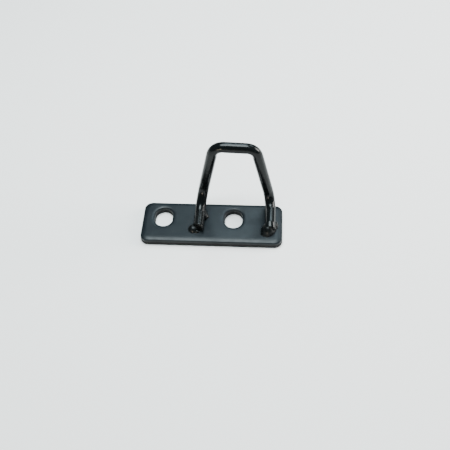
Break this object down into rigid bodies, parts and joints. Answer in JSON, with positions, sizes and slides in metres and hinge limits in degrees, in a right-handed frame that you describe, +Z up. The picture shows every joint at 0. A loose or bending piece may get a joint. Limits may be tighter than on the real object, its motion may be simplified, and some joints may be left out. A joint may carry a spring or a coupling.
{
  "type": "u-bolt latch striker",
  "caption": "Bent round-rod hoop welded on a slotted flat plate; bolts to a frame so that a latch can hook over the hoop.",
  "frame": {"origin": "middle of the plate's flat underside", "axes": "+X along the plate towards the end that carries the hoop, +Y across the plate towards the edge where the hoop rises, +Z up out of the plate"},
  "size_m": [0.0958, 0.0384, 0.0625],
  "materials": {
    "plate_coat": "satin black coating on a blanked steel plate",
    "rod_coat": "glossier black coating on bent steel rod",
    "weld_coat": "black coating over weld metal"
  },
  "bodies": {
    "root": {"base_plate": "plate_coat", "hoop": "rod_coat", "weld_left_front": "weld_coat", "weld_left_rear": "weld_coat", "weld_right": "weld_coat"}
  },
  "joints": []
}
